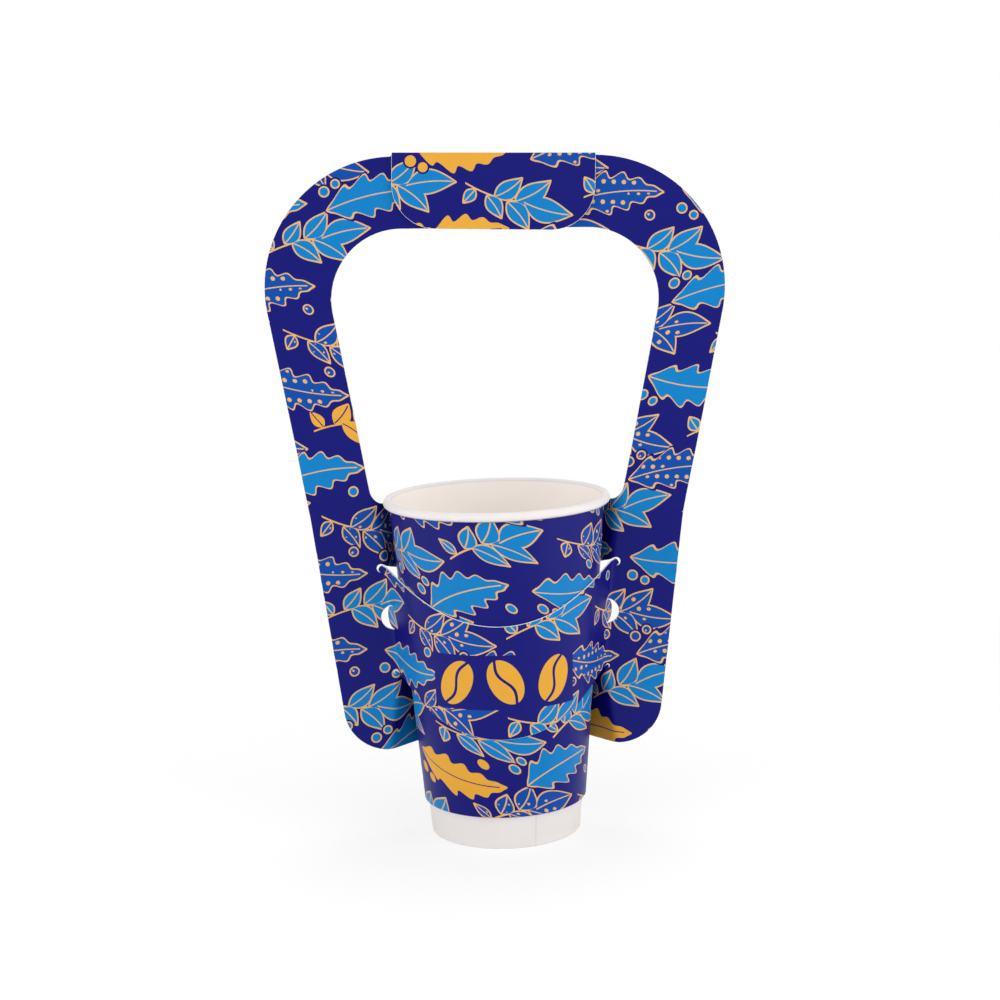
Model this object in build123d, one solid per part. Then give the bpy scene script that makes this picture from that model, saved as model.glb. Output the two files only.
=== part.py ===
from build123d import *
import os
from math import acos, atan2, cos, degrees, hypot, pi, radians, sin, tan

# Cardboard cup carrier: one die-cut paperboard sheet, folded round a double-wall paper cup.
# Millimetres. The origin is the centre of the cup's foot on the floor, +Z is up, the front
# band of the sheet faces -Y, and the handle stands in the XZ plane.

# Cup
CUP_HEIGHT = 136.0
RIM_DIAMETER = 90.0
FOOT_DIAMETER = 60.0
CUP_PAPER = 0.38
RIM_ROLL = 3.4  # diameter of the rolled rim's section
RIM_ROLL_TURN = 300.0  # degrees that the paper runs round in the roll
HEM_LENGTH = 6.0  # the wall's lower edge, folded up inside and pressed flat
SEAL_GAP = 0.06  # between layers that are sealed to each other
BOTTOM_PAPER = 0.38
BOTTOM_RECESS = 9.0  # middle of the bottom disc over the floor
SKIRT_GAP = 0.35  # from the skirt's lower edge to the fold of the hem
SEAM_ANGLE = -68.0  # where the outer layer's edge shows, from +X
SEAM_STEP = 0.2  # how far a layer's edge stands proud at the side seam
SEAM_RAMP = 22.0  # degrees over which the layer rises to it
SEAM_LAP = 6.5  # from the outer layer's edge back to the inner layer's

# Outer wrap of the cup
WRAP_PAPER = 0.38
WRAP_FOOT = 13.4  # lower end of the wrap over the floor
WRAP_STAND_OFF_FOOT = 1.4  # wrap's outer face to the wall's outer face, at the wrap's foot
WRAP_STAND_OFF_RIM = 0.8  # the same under the rim
WRAP_RIM_GAP = 0.3  # upper edge of the wrap to the underside of the roll
WRAP_HEM_LENGTH = 3.0  # the wrap's lower edge, turned in
WRAP_HEM_GAP = 0.1  # turned edge to the wall's side seam

# Outline of the carrier sheet
CARD = 0.55
HANDLE_TOP = 268.3  # upper edge of the grip over the floor
HANDLE_HALF_WIDTH = 100.0  # from the middle to the sharp corner of the outline
HANDLE_CORNER = 51.0
SHOULDER_HEIGHT = 128.0  # where the handle's side runs into the wing
SHOULDER_HALF_WIDTH = 74.0
SHOULDER_BLEND = 90.0
WING_FOOT_HALF_WIDTH = 62.0
WING_CORNER = 17.5
GRIP_HEIGHT = 27.8
WINDOW_TOP_HALF_WIDTH = 69.2
WINDOW_TOP_CORNER = 27.5
WINDOW_FOOT_GAP = 0.4  # window's lower edge to the underside of the rim roll
WINDOW_FOOT_HALF_WIDTH = 49.1
WINDOW_FOOT_CORNER = 7.5

# Folds, slits and holes of the carrier sheet
SLEEVE_GAP = 0.15  # strips to the cup's wrap
FOOT_TOUCH = 40.4  # degrees from +X round to where a strip touches the cup, at the wing's foot
BAND_TOUCH = 24.4  # the same all the way up the front band, whose straight runs are flat
WINDOW_TOUCH = 26.0  # and at the window
FOOT_BEND = 4.0  # middle radius of the sheet at the folds, at the wing's foot
BAND_BEND = 2.5
WINDOW_BEND = 5.0
TOP_STRIP = 23.8  # width at the folds, from the window's foot down to the upper slit
UPPER_SLIT_SLOPE = 28.8  # degrees, its straight arms
UPPER_SLIT_DIP = 55.6  # radius of its middle
UPPER_SLIT_ROUND = 3.0  # diameter of the round at each end
FRONT_BAND = 43.7  # width at the folds, from slit to slit
LOWER_SLIT_SLOPE = 38.0
LOWER_SLIT_DIP = 48.7
LOWER_SLIT_ROUND = 2.0
BOTTOM_STRIP = 31.7  # width at the folds, down to the lower edge of the wings
CUT_OVERRUN = 0.3  # how far the slits' rounds and the tabs' cuts reach past the bends
TAB_DIAMETER = 10.0  # round tab on each fold of the band, cut from the wing by half a circle
TAB_DROP = 20.6  # from the upper slit's end down to the tab's middle
TAB_CUT = 0.15  # gap that the cut leaves round the tab

# Flap folded forward over the grip
FLAP_WIDTH = 78.6
FLAP_CORNER = 17.0
FLAP_GAP = 0.3  # flap to grip at the fold
FLAP_SPRING = 1.2  # degrees that the flap stands open

# Working lengths, longer than what they cut or join
REACH = 150.0
OVERRUN = 2.0
FOOT_SECTIONS = 5  # steps in which the strips turn from their touch at the foot to the band's


def tangent_normal(centre, radius, point):
    """Angle of the normal of the line that runs up from a point to the near side of a circle."""
    dx = centre[0] - point[0]
    dy = centre[1] - point[1]
    return atan2(dy, dx) - acos(radius / hypot(dx, dy))


def beside(bend, angle, shift, distance):
    """Point to the right of a path by shift, straight on by a distance from an angle of a bend."""
    centre, radius, first, last = bend
    turn = 1 if last > first else -1
    outwards = Vector(cos(angle), sin(angle))
    heading = Vector(-sin(angle), cos(angle)) * turn
    return Vector(*centre) + outwards * (radius + turn * shift) + heading * distance


def moved(bend, shift):
    """First point, arc and last point of a bend that is moved to the right of its path."""
    centre, radius, first, last = bend
    turn = 1 if last > first else -1
    if radius:
        arc = CenterArc(centre, radius + turn * shift, degrees(first), degrees(last - first))
        return arc @ 0, [arc], arc @ 1
    middle = (first + last) / 2
    reach = turn * shift / cos((last - first) / 2)
    crease = Vector(centre[0] + reach * cos(middle), centre[1] + reach * sin(middle))
    return crease, [], crease


def parallel(bends, shift, lead, tail):
    """Ends and edges of a path of bends and straight runs, moved to the right by shift."""
    points = [beside(bends[0], bends[0][2], shift, -lead)]
    edges = []
    for start, arc, end in [moved(bend, shift) for bend in bends]:
        points += [start, end]
        edges += arc
    points.append(beside(bends[-1], bends[-1][3], shift, tail))
    runs = [Line(a, b) for a, b in zip(points[::2], points[1::2]) if a != b]
    return points[0], points[-1], edges + runs


def board(bends, thickness, lead=0.0, tail=0.0):
    """Section of bent board: the face within half its thickness of a path.

    A bend is its centre, radius, first and last angle, and it turns left if the last angle is
    the larger. Radius 0 makes a sharp crease. Lead and tail are straight runs at the ends.
    """
    right_start, right_end, right = parallel(bends, thickness / 2, lead, tail)
    left_start, left_end, left = parallel(bends, -thickness / 2, lead, tail)
    ends = [Line(right_start, left_start), Line(right_end, left_end)]
    return make_face(right + left + ends)


def hem(crease, spacing, normal):
    """Two sharp creases that turn an edge in and up; normal is the angle of the wall's normal."""
    x, height = crease
    return [((x - spacing, height), 0, normal - pi, -pi / 2), (crease, 0, -pi / 2, normal)]


def turned(section):
    """Solid of revolution about Z of a section drawn with radius across and height up."""
    return revolve(Plane.XZ * section, axis=Axis.Z)


def along(low, high, low_value, high_value, height):
    """Straight-line value at a height, from its values at two other heights."""
    return low_value + (high_value - low_value) * (height - low) / (high - low)


# Cup wall. Its middle line runs from the outer crease of the hem to the inner side of the rim's
# roll. The skirt of the bottom disc stands between wall and hem.
roll_radius = (RIM_ROLL - CUP_PAPER) / 2
roll_centre = (RIM_DIAMETER / 2 - RIM_ROLL / 2, CUP_HEIGHT - RIM_ROLL / 2)
roll_underside = CUP_HEIGHT - RIM_ROLL
layer_spacing = (CUP_PAPER + BOTTOM_PAPER) / 2 + SEAL_GAP
foot_crease = (FOOT_DIAMETER / 2 - CUP_PAPER / 2, CUP_PAPER / 2)
wall_normal = tangent_normal(roll_centre, roll_radius, foot_crease)
wall_tilt = -wall_normal


def wall_radius(height):
    """Outer radius of the cup's wall."""
    rise = height - foot_crease[1]
    return foot_crease[0] + (CUP_PAPER / 2 + rise * sin(wall_tilt)) / cos(wall_tilt)


def seam_layer(side, low, high, angle):
    """Cut edge of the wall's outer (side 1) or inner (side -1) layer at the glued side seam.

    It is a slice of the wall, swung about its own far edge until the cut edge stands proud.
    """
    skin = 0 if side > 0 else CUP_PAPER / cos(wall_tilt)
    face = [(wall_radius(z) - skin, z) for z in (low, high)]
    depth = (CUP_PAPER - SEAL_GAP) * side
    root = [(x - depth, z) for x, z in reversed(face)]
    section = make_face(Polyline(*face, *root, close=True))
    slice_ = revolve(Plane.XZ * section, axis=Axis.Z, revolution_arc=side * SEAM_RAMP)
    foot, top = [Vector(x, 0, z) for x, z in face]
    swing = SEAM_STEP / (foot.X * radians(SEAM_RAMP))
    swung = slice_.rotate(Axis(foot, top - foot), -degrees(swing))
    return Rot(0, 0, angle - side * SEAM_RAMP) * swung


def cup_wall():
    """Side wall with a rolled rim, a hem folded up inside and the two steps of its side seam."""
    roll_start = wall_normal + pi
    roll = (roll_centre, roll_radius, roll_start, roll_start - radians(RIM_ROLL_TURN))
    creases = hem(foot_crease, 2 * layer_spacing, wall_normal)
    shell = turned(board(creases + [roll], CUP_PAPER, lead=HEM_LENGTH))
    overlap = degrees(SEAM_LAP / wall_radius(foot_crease[1]))
    outer = seam_layer(1, foot_crease[1], roll_underside, SEAM_ANGLE)
    inner = seam_layer(-1, BOTTOM_RECESS + BOTTOM_PAPER, roll_underside, SEAM_ANGLE - overlap)
    return shell + outer + inner


def cup_bottom():
    """Disc with a skirt turned down between the wall and its hem."""
    inset = CUP_PAPER / 2 + layer_spacing
    crease_x = wall_radius(BOTTOM_RECESS) - inset / cos(wall_tilt)
    crease = ((crease_x, BOTTOM_RECESS), 0, pi / 2, wall_normal)
    skirt = (BOTTOM_RECESS - CUP_PAPER - SKIRT_GAP) / cos(wall_tilt)
    return turned(board([crease], BOTTOM_PAPER, lead=crease_x, tail=skirt))


# Outer wrap
wrap_top = roll_underside - WRAP_RIM_GAP


def wrap_radius(height):
    """Outer radius of the wrap."""
    foot = wall_radius(WRAP_FOOT) + WRAP_STAND_OFF_FOOT
    rim = wall_radius(wrap_top) + WRAP_STAND_OFF_RIM
    return along(WRAP_FOOT, wrap_top, foot, rim, height)


def cup_wrap():
    """Cone round the wall, with its lower edge turned in."""
    tilt = atan2(wrap_radius(wrap_top) - wrap_radius(WRAP_FOOT), wrap_top - WRAP_FOOT)
    height = WRAP_FOOT + WRAP_PAPER / 2
    crease = (wrap_radius(height) - WRAP_PAPER / 2 / cos(tilt), height)
    spacing = WRAP_STAND_OFF_FOOT - SEAM_STEP - WRAP_HEM_GAP - WRAP_PAPER
    rise = (wrap_top - height) / cos(tilt)
    return turned(board(hem(crease, spacing, -tilt), WRAP_PAPER, WRAP_HEM_LENGTH, rise))


# Carrier sheet. The strips' middle surface is a cone about the cup, and the bends start on a
# line up each wing that has a corner at each slit.
window_foot = roll_underside - WINDOW_FOOT_GAP
upper_slit_end = window_foot - TOP_STRIP
lower_slit_end = upper_slit_end - FRONT_BAND
wing_foot = lower_slit_end - BOTTOM_STRIP
tab_height = upper_slit_end - TAB_DROP


def strip_radius(height):
    """Middle radius of the strips where they lie against the cup."""
    return wrap_radius(height) + SLEEVE_GAP + CARD / 2


def up_the_fold(at_foot, at_band, at_window, height):
    """Value at a height, from its values at the wing's foot, at both slits and at the window."""
    if height < lower_slit_end:
        return along(wing_foot, lower_slit_end, at_foot, at_band[0], height)
    if height < upper_slit_end:
        return along(lower_slit_end, upper_slit_end, *at_band, height)
    return along(upper_slit_end, window_foot, at_band[1], at_window, height)


def fold_line(height):
    """Distance from the middle at which wing and strips would meet in a sharp fold."""
    foot = strip_radius(wing_foot) / cos(radians(FOOT_TOUCH))
    band = [strip_radius(z) / cos(radians(BAND_TOUCH)) for z in (lower_slit_end, upper_slit_end)]
    window = strip_radius(window_foot) / cos(radians(WINDOW_TOUCH))
    return up_the_fold(foot, band, window, height)


def touch_angle(height):
    """How far round from the X axis a strip that leaves the fold line touches the cup."""
    return acos(strip_radius(height) / fold_line(height))


def bend_radius(height):
    """Middle radius of the sheet at the fold."""
    return up_the_fold(FOOT_BEND, [BAND_BEND, BAND_BEND], WINDOW_BEND, height)


def bend_reach(height):
    """Length of wing and of strip that a bend takes up, measured from the sharp fold."""
    return bend_radius(height) * tan((pi / 2 - touch_angle(height)) / 2)


def bend_start(height):
    """Distance from the middle at which the flat wing starts to bend."""
    return fold_line(height) + bend_reach(height)


def strip_arc(height):
    """The bend that a strip makes round the front of the cup."""
    touch = touch_angle(height)
    return ((0, 0), strip_radius(height), pi + touch, 2 * pi - touch)


def strip_section(height):
    """Wing to wing round the front of the cup: bend, straight run, arc, straight run, bend."""
    touch = touch_angle(height)
    start = bend_start(height)
    radius = bend_radius(height)
    left = ((-start, -radius), radius, pi / 2, touch)
    right = ((start, -radius), radius, pi - touch, pi / 2)
    return Pos(0, 0, height) * board([left, strip_arc(height), right], CARD)


def unbent_section(height):
    """The front band without bends, its straight runs carried on behind the wings."""
    run = strip_radius(height) * tan(touch_angle(height)) + TAB_DIAMETER
    return Pos(0, 0, height) * board([strip_arc(height)], CARD, lead=run, tail=run)


def through(sketch):
    """A front view, drawn with X across and Z up, run through the part from front to back."""
    return extrude(Plane.XZ * sketch, amount=REACH, both=True)


def outer_outline():
    right = [
        (WING_FOOT_HALF_WIDTH, wing_foot, WING_CORNER),
        (SHOULDER_HALF_WIDTH, SHOULDER_HEIGHT, SHOULDER_BLEND),
        (HANDLE_HALF_WIDTH, HANDLE_TOP, HANDLE_CORNER),
    ]
    return symmetric_outline(right)


def window_outline():
    right = [
        (WINDOW_FOOT_HALF_WIDTH, window_foot, WINDOW_FOOT_CORNER),
        (WINDOW_TOP_HALF_WIDTH, HANDLE_TOP - GRIP_HEIGHT, WINDOW_TOP_CORNER),
    ]
    return symmetric_outline(right)


def symmetric_outline(right):
    """Face whose right half is given from the bottom up as corners with their radii."""
    left = [(-x, z, radius) for x, z, radius in reversed(right)]
    corners = right + left
    path = FilletPolyline(*[(x, z) for x, z, _ in corners], radius=[c[2] for c in corners], close=True)
    return make_face(path)


def slit_height(x, end_height, slope):
    """Height of a slit's straight arm at a distance from the middle."""
    return end_height + (x - fold_line(end_height)) * tan(radians(slope))


def slit_line(end_height, slope, dip):
    """Front view of a slit: two straight arms with a round dip, run on past the folds."""
    meet, side = [slit_height(x, end_height, slope) for x in (0, REACH)]
    return FilletPolyline((-REACH, side), (0, meet), (REACH, side), radius=dip)


def above(line):
    """Everything over a slit in the front view."""
    ends = [line @ 0, line @ 1]
    top = [(point.X, ends[0].Y + REACH) for point in ends]
    return make_face([line, Polyline(ends[0], top[0], top[1], ends[1])])


def slit_round(end_height, slope, diameter):
    """The round at both ends of a slit."""
    x = bend_start(end_height) + CUT_OVERRUN - diameter / 2
    height = slit_height(x, end_height, slope)
    return [Pos(side * x, height) * Circle(diameter / 2) for side in (-1, 1)]


def disc_part(radius, start, end):
    """Slice of a disc that faces Y, between two distances across from its middle."""
    slice_ = Circle(radius) & Pos((start + end) / 2, 0) * Rectangle(end - start, 2 * radius)
    return extrude(Plane.XZ * slice_, amount=BAND_BEND, both=True)


def tabs_and_cuts():
    """Round tabs that stay in line with the band at its folds, and the cuts that free them.

    The cut's outer half is in the wing. Inwards it ends just past the bend, on the straight run.
    """
    radius = TAB_DIAMETER / 2
    end = bend_reach(tab_height) + CUT_OVERRUN
    on_fold = Pos(fold_line(tab_height), 0, tab_height)
    along_run = on_fold * Rot(0, 0, -degrees(pi / 2 + touch_angle(tab_height)))
    in_wing = on_fold * disc_part(radius + TAB_CUT, 0, radius + TAB_CUT)
    cut = in_wing + along_run * disc_part(radius + TAB_CUT, 0, end)
    unbent = loft([unbent_section(lower_slit_end), unbent_section(upper_slit_end)], ruled=True)
    tab = unbent & along_run * disc_part(radius, -radius, end)
    return [tab, mirror(tab, about=Plane.YZ)], [cut, mirror(cut, about=Plane.YZ)]


def flap():
    """Fold over the grip's upper edge, and a tongue with round corners down its front."""
    bend = (CARD + FLAP_GAP) / 2
    fold = ((-bend, HANDLE_TOP), bend, 0, pi - radians(FLAP_SPRING))
    tail = GRIP_HEIGHT / cos(radians(FLAP_SPRING))
    strip = extrude(Plane.YZ * board([fold], CARD, lead=OVERRUN, tail=tail), amount=FLAP_WIDTH, both=True)
    top = HANDLE_TOP + REACH
    foot = HANDLE_TOP - GRIP_HEIGHT
    half = FLAP_WIDTH / 2
    outline = FilletPolyline(
        (-half, top), (-half, foot), (half, foot), (half, top), radius=FLAP_CORNER
    )
    return strip & through(make_face([outline, Line(outline @ 1, outline @ 0)]))


def carrier():
    low = wing_foot - OVERRUN
    high = window_foot + WINDOW_FOOT_CORNER + OVERRUN
    heights = [along(0, FOOT_SECTIONS, low, lower_slit_end, i) for i in range(FOOT_SECTIONS)]
    heights += [lower_slit_end, upper_slit_end, high]
    sheet = outer_outline() - window_outline()
    edge = [(bend_start(z), z) for z in heights]
    between_bends = make_face(Polyline(*edge, *[(-x, z) for x, z in reversed(edge)], close=True))
    wings = extrude(Plane.XZ * (sheet - between_bends), amount=CARD / 2, both=True)

    upper = slit_line(upper_slit_end, UPPER_SLIT_SLOPE, UPPER_SLIT_DIP)
    lower = slit_line(lower_slit_end, LOWER_SLIT_SLOPE, LOWER_SLIT_DIP)
    rounds = slit_round(upper_slit_end, UPPER_SLIT_SLOPE, UPPER_SLIT_ROUND)
    rounds += slit_round(lower_slit_end, LOWER_SLIT_SLOPE, LOWER_SLIT_ROUND)
    band_view = above(lower) - above(upper)
    round_front = loft([strip_section(z) for z in heights], ruled=True)
    round_back = mirror(round_front, about=Plane.XZ)
    front = round_front & through(band_view)
    top_strip = round_back & through(sheet & above(upper))
    bottom_strip = round_back & through(sheet - above(lower))

    tabs, cuts = tabs_and_cuts()
    body = wings + front + top_strip + bottom_strip + flap()
    for cutter in [through(circle) for circle in rounds] + cuts:
        body -= cutter
    for tab in tabs:
        body += tab
    return body


os.makedirs("parts", exist_ok=True)
for name, make in {
    "carrier": carrier,
    "cup_wall": cup_wall,
    "cup_bottom": cup_bottom,
    "cup_wrap": cup_wrap,
}.items():
    export_step(make(), f"parts/{name}.step")
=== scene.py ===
from math import acos, atan2, cos, hypot, pi, radians, sin, tan

import bmesh
import bpy
import numpy as np
from mathutils import Matrix, Vector
from mathutils.geometry import delaunay_2d_cdt


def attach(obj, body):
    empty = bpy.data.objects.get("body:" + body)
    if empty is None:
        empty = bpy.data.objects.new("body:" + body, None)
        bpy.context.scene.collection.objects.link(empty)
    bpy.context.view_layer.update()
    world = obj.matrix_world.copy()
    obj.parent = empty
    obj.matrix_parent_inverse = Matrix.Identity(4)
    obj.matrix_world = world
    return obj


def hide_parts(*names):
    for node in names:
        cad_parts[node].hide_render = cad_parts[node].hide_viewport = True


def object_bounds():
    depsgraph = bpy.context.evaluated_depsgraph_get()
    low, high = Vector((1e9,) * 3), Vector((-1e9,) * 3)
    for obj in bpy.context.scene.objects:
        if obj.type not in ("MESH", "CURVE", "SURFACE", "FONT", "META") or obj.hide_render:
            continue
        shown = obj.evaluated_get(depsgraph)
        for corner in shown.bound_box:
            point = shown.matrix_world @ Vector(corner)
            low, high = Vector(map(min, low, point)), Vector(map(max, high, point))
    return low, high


# Cardboard cup carrier: the looks of the die-cut, printed sheet and of the paper cup that it
# carries. Metres. The frame is the model's own: the cup's foot at the origin, +Z up, the front
# band of the sheet towards -Y, the handle in the XZ plane.

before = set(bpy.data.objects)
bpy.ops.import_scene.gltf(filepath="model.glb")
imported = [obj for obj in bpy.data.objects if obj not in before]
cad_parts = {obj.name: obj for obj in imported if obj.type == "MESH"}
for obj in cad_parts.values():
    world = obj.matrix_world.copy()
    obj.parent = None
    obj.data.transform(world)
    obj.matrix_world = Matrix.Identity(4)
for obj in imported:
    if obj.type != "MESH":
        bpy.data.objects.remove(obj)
cad_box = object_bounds()

MM = 0.001

# Cup
CUP_HEIGHT = 136 * MM
RIM_DIAMETER = 90 * MM
FOOT_DIAMETER = 60 * MM
PAPER = 0.38 * MM
RIM_ROLL = 3.4 * MM
RIM_ROLL_TURN = radians(300)
HEM_LENGTH = 6 * MM
HEM_BEND = 0.22 * MM
SEAL_GAP = 0.06 * MM
BOTTOM_RECESS = 9 * MM
BOTTOM_BEND = 0.8 * MM
SKIRT_GAP = 0.35 * MM
SEAM_ANGLE = radians(-68)
SEAM_STEP = 0.2 * MM
SEAM_RAMP = radians(75)
SEAM_FADE_POINTS = 11
LINING_OVER_RIM = 2
SEAM_CUT = radians(0.15)
SEAM_LINE = radians(0.25)
# Share by which painted shade darkens the cup's bare board along the seam's step
SEAM_PAINTED_SHADE = 0.3
SEAM_WHITE = (0.6, 0.6, 0.62)

# Outer wrap of the cup
WRAP_FOOT = 13.4 * MM
WRAP_STAND_OFF_FOOT = 1.4 * MM
WRAP_STAND_OFF_RIM = 0.8 * MM
WRAP_RIM_GAP = 0.3 * MM
WRAP_HEM_LENGTH = 3 * MM
WRAP_HEM_GAP = 0.1 * MM
WRAP_HEM_RUN = 0.02 * MM
WRAP_SEAM_ANGLE = radians(90)

# Outline of the carrier sheet, in the front view
CARD = 0.55 * MM
HANDLE_TOP = 268.3 * MM
HANDLE_HALF_WIDTH = 100 * MM
HANDLE_CORNER = 51 * MM
SHOULDER_HEIGHT = 128 * MM
SHOULDER_HALF_WIDTH = 74 * MM
SHOULDER_BLEND = 90 * MM
WING_FOOT_HALF_WIDTH = 62 * MM
WING_CORNER = 17.5 * MM
GRIP_HEIGHT = 27.8 * MM
WINDOW_TOP_HALF_WIDTH = 69.2 * MM
WINDOW_TOP_CORNER = 27.5 * MM
WINDOW_FOOT_GAP = 0.4 * MM
WINDOW_FOOT_HALF_WIDTH = 49.1 * MM
WINDOW_FOOT_CORNER = 7.5 * MM
WINDOW_FOOT_BLEND = 2 * MM

# Folds, slits and tabs of the carrier sheet
SLEEVE_GAP = 0.15 * MM
FOOT_TOUCH = radians(40.4)
BAND_TOUCH = radians(24.4)
WINDOW_TOUCH = radians(26)
FOOT_BEND = 4 * MM
BAND_BEND = 2.5 * MM
WINDOW_BEND = 5 * MM
TOP_STRIP = 23.8 * MM
UPPER_SLIT = dict(slope=radians(28.8), dip=55.6 * MM, round=3.2 * MM, reach=1.1 * MM, gape=0.7 * MM)
FRONT_BAND = 43.7 * MM
LOWER_SLIT = dict(slope=radians(38), dip=48.7 * MM, round=1.4 * MM, reach=0.3 * MM, gape=0.1 * MM)
BOTTOM_STRIP = 31.7 * MM
CUT_OVERRUN = 0.3 * MM
SLIT_WIDTH = 0.16 * MM
HOOK_TURN = radians(200)
HOOK_GAPE_START = 0.15
TAB_DIAMETER = 9.5 * MM
TAB_DROP = 20.6 * MM
TAB_INSET = 0.75 * MM
TAB_CUT = 0.15 * MM
SHEAR_END = 240 * MM
LEAN = radians(1.2)
LEAN_START = 112 * MM
LEAN_FULL = 158 * MM
LEAN_PIVOT = 128 * MM

# Flap folded forward over the grip
FLAP_WIDTH = 78.6 * MM
FLAP_CORNER = 17 * MM
FLAP_GAP = 0.3 * MM
FLAP_SPRING = radians(2.4)
FLAP_SKEW = 0.009
FLAP_OVERHANG = 1.2 * MM

# Inks, as linear colours, and the leaf print, whose sizes are in millimetres of the blank
NAVY = (0.0035, 0.0045, 0.150)
AZURE = (0.0, 0.178, 0.47)
MID_BLUE = (0.0, 0.058, 0.32)
GOLD = (0.68, 0.335, 0.035)
LINE_GOLD = (0.66, 0.385, 0.13)
CELL = (46, 36)
CELL_TILT = radians(14)
AZURE_SHARE = (0.46, 0.38)
GOLD_START = 0.88
RIB_END = 0.93
WAVE_SLANT = 0.14
WAVE_GROWTH = 3
STEM_TOP = (2, 3)
STEM_BOW = 0.0105
STEM_ENDS = (-21, 3)
OUTLINE = 0.29
STEM = 0.33
RIB = 0.23
FAR = 9
HALO = 1.0
DOT_PITCH = 3.9
DOT_RADIUS = 0.85
DOT_MARGIN = 0.5
INK_GLOSS = 0.14
INK_ROUGHNESS = 0.38
PANEL_MIDDLE = (1.2, 69)
PANEL_HALF = (29.5, 11)
BEANS = ((-18.2, 68.6, 62), (1.4, 69.2, 118), (21.0, 69.0, 70))
BEAN_HALF = (9.6, 6.3)
GROOVE_WAVE = 0.36
GROOVE_SWING = 1.3
GROOVE_HALF = 0.6

# Paper grain: size and detail of its cloudy, its fine and its slow noise, and what they do
GRAIN = ((9 * MM, 2), (0.5 * MM, 3), (32 * MM, 1))
CLOUDY_SHEEN = 0.12
FINE_SHEEN = 0.08
FINE_HEIGHT = 0.02

# Crushed edge of the sheet, and the fineness of the meshes
EDGE_WIDTH = 0.12 * MM
EDGE_DEPTH = 0.1 * MM
OUTLINE_STEP = 1.2 * MM
GRID_STEP = 2.6 * MM
WING_STEP = 1.5 * GRID_STEP
LONGEST_SIDE = 2 * GRID_STEP
BLANK_HALF_WIDTH = 130 * MM
CLEAR_OF_EDGE = 0.7 * MM
STRIP_POINTS = (28, 4, 10)
FLAP_BEND_POINTS = 9
HOOK_POINTS = 18
ARM_POINTS = 60
BEND_ANGLE = radians(9)
CORNER_ANGLE = radians(6)
SHARP_ANGLE = radians(40)
HALVINGS = 40
POINTS_AT_ONCE = 2000
NUDGE = 0.02 * MM
SAME_POINT = 1e-6 * MM


def new_object(name, data):
    added = bpy.data.objects.new(name, data)
    bpy.context.scene.collection.objects.link(added)
    return added


def new_piece(name, mesh, materials):
    """Piece at the origin with these materials, riding on the one body of the frame."""
    piece = new_object(name, mesh)
    for material in materials:
        mesh.materials.append(material)
    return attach(piece, "root")


# Curves

def arc_points(centre, radius, first, last, step=BEND_ANGLE):
    """Points of an arc: centre plus radius times the cosine and sine of an even run of angles."""
    count = max(2, int(np.ceil(abs(last - first) / step)) + 1)
    angle = np.linspace(first, last, count)
    return np.asarray(centre) + radius * np.stack([np.cos(angle), np.sin(angle)], 1)


def bent_path(bends, shift, lead, tail):
    """Path of bends between a straight lead and tail, moved to its right by shift.

    A bend is centre, radius, first and last angle. The moved arc has the same centre, and its
    radius is larger by shift in a left turn and smaller in a right turn.
    """
    turns = [1 if last > first else -1 for _, _, first, last in bends]
    parts = [
        arc_points(centre, radius + turn * shift, first, last)
        for (centre, radius, first, last), turn in zip(bends, turns)
    ]
    first, last = bends[0][2], bends[-1][3]
    back = np.array([[sin(first), -cos(first)]]) * turns[0]
    parts.insert(0, parts[0][:1] + back * lead)
    if tail:
        onward = np.array([[-sin(last), cos(last)]]) * turns[-1]
        parts.append(parts[-1][-1:] + onward * tail)
    return np.concatenate(parts)


def rounded_loop(right):
    """Closed outline, alike on both sides, whose corners are arcs tangent to their two sides.

    The corners of its right half are given from the bottom up, each as x, height and radius.
    """
    corners = right + [(-x, z, radius) for x, z, radius in reversed(right)]
    points = np.array([corner[:2] for corner in corners])
    loop = []
    for i, (_, _, radius) in enumerate(corners):
        here = points[i]
        before = points[i - 1] - here
        after = points[(i + 1) % len(points)] - here
        before /= np.hypot(*before)
        after /= np.hypot(*after)
        half = acos(np.clip(before @ after, -1, 1)) / 2
        middle = before + after
        centre = here + middle / np.hypot(*middle) * radius / sin(half)
        first = here + before * radius / tan(half) - centre
        last = here + after * radius / tan(half) - centre
        start = atan2(first[1], first[0])
        turn = (atan2(last[1], last[0]) - start + pi) % (2 * pi) - pi
        loop.append(arc_points(centre, radius, start, start + turn, OUTLINE_STEP / radius))
    return divided(np.concatenate(loop))


def divided(loop):
    """A closed outline whose long sides are divided into even steps."""
    parts = []
    for a, b in zip(loop, np.roll(loop, -1, 0)):
        count = max(1, int(np.ceil(np.hypot(*(b - a)) / LONGEST_SIDE)))
        share = np.arange(count)[:, None] / count
        parts.append(a + (b - a) * share)
    return np.concatenate(parts)


def eased(value, start, end):
    """Share from 0 at the start to 1 at the end: three times the square less twice the cube."""
    share = np.clip((value - start) / (end - start), 0, 1)
    return share * share * (3 - 2 * share)


# Cup

roll_radius = (RIM_ROLL - PAPER) / 2
roll_centre = (RIM_DIAMETER / 2 - RIM_ROLL / 2, CUP_HEIGHT - RIM_ROLL / 2)
layer_spacing = PAPER + SEAL_GAP
foot_crease = (FOOT_DIAMETER / 2 - PAPER / 2, PAPER / 2)
to_roll = (roll_centre[0] - foot_crease[0], roll_centre[1] - foot_crease[1])
wall_normal = atan2(to_roll[1], to_roll[0]) - acos(roll_radius / hypot(*to_roll))
wall_tilt = -wall_normal
roll_underside = CUP_HEIGHT - RIM_ROLL
wrap_top = roll_underside - WRAP_RIM_GAP


def wall_radius(height):
    """Outer radius of the cup's wall: a straight line up the cone."""
    rise = height - foot_crease[1]
    return foot_crease[0] + (PAPER / 2 + rise * sin(wall_tilt)) / cos(wall_tilt)


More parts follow.
